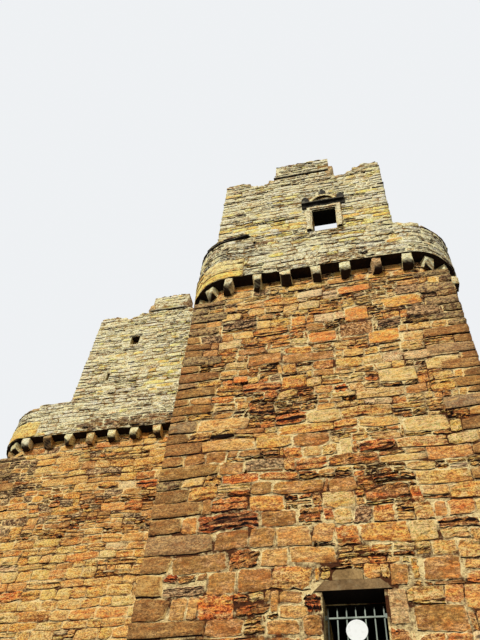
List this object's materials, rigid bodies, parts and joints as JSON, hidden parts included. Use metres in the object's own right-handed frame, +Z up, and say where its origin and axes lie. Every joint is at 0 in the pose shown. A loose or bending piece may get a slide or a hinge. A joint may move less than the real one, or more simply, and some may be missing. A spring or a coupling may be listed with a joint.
{
  "type": "castle keep",
  "caption": "Ruined stone tower keep on an L plan, with a corbelled rounded parapet, a gated upper doorway and a roofless upper house with broken heads.",
  "frame": {"origin": "centre of the plan's box at the base of the walls, on the ground", "axes": "+Z up, -Y towards the entrance front, +X to the right seen from that front"},
  "size_m": [15.16, 12.865, 23.532],
  "materials": {
    "corbel_stone": "cream dressed stone, dark under the noses",
    "disc_white": "plain white paint",
    "dressed_stone": "grey brown dressed stone, weathered",
    "gate_iron": "old grey green painted iron",
    "pale_rubble": "pale cream sandstone rubble with grey lichen",
    "parapet_stone": "grey and cream weathered stone courses",
    "paving_stone": "worn grey flagstones",
    "rubble_wall": "orange and brown sandstone rubble in flat courses with pale mortar"
  },
  "bodies": {
    "root": {"door_lintel": "dressed_stone", "door_relieving_stone": "dressed_stone", "entrance_floor_main": "paving_stone", "entrance_floor_wing": "paving_stone", "entrance_round": "parapet_stone", "entrance_round_coping": "dressed_stone", "entrance_wall_base": "rubble_wall", "entrance_wall_head": "rubble_wall", "entrance_wall_left": "rubble_wall", "entrance_wall_right": "rubble_wall", "gate_bars": "gate_iron", "gate_disc": "disc_white", "gate_rails": "gate_iron", "ground_floor_main": "paving_stone", "ground_floor_wing": "paving_stone", "left_corbels": "corbel_stone", "left_parapet": "parapet_stone", "main_front_corbels": "corbel_stone", "main_front_parapet": "parapet_stone", "main_front_wall": "rubble_wall", "main_left_wall": "rubble_wall", "parapet_rounds": "parapet_stone", "plain_window_surrounds": "dressed_stone", "raised_heads": "pale_rubble", "rear_corbels": "corbel_stone", "rear_parapet": "parapet_stone", "rear_wall": "rubble_wall", "right_corbels": "corbel_stone", "right_parapet": "parapet_stone", "string_courses": "pale_rubble", "upper_front_base": "pale_rubble", "upper_front_head": "pale_rubble", "upper_front_left": "pale_rubble", "upper_front_right": "pale_rubble", "upper_main_front": "pale_rubble", "upper_main_left": "pale_rubble", "upper_rear": "pale_rubble", "upper_right": "pale_rubble", "upper_wing_left": "pale_rubble", "wall_walk_main": "paving_stone", "wall_walk_wing": "paving_stone", "window_cornice": "dressed_stone", "window_crown": "dressed_stone", "window_finials": "dressed_stone", "window_pediment": "dressed_stone", "window_surround": "dressed_stone", "wing_front_corbels": "corbel_stone", "wing_front_parapet": "parapet_stone", "wing_left_corbel": "corbel_stone", "wing_left_wall": "rubble_wall", "wing_right_wall": "rubble_wall"}
  },
  "joints": []
}
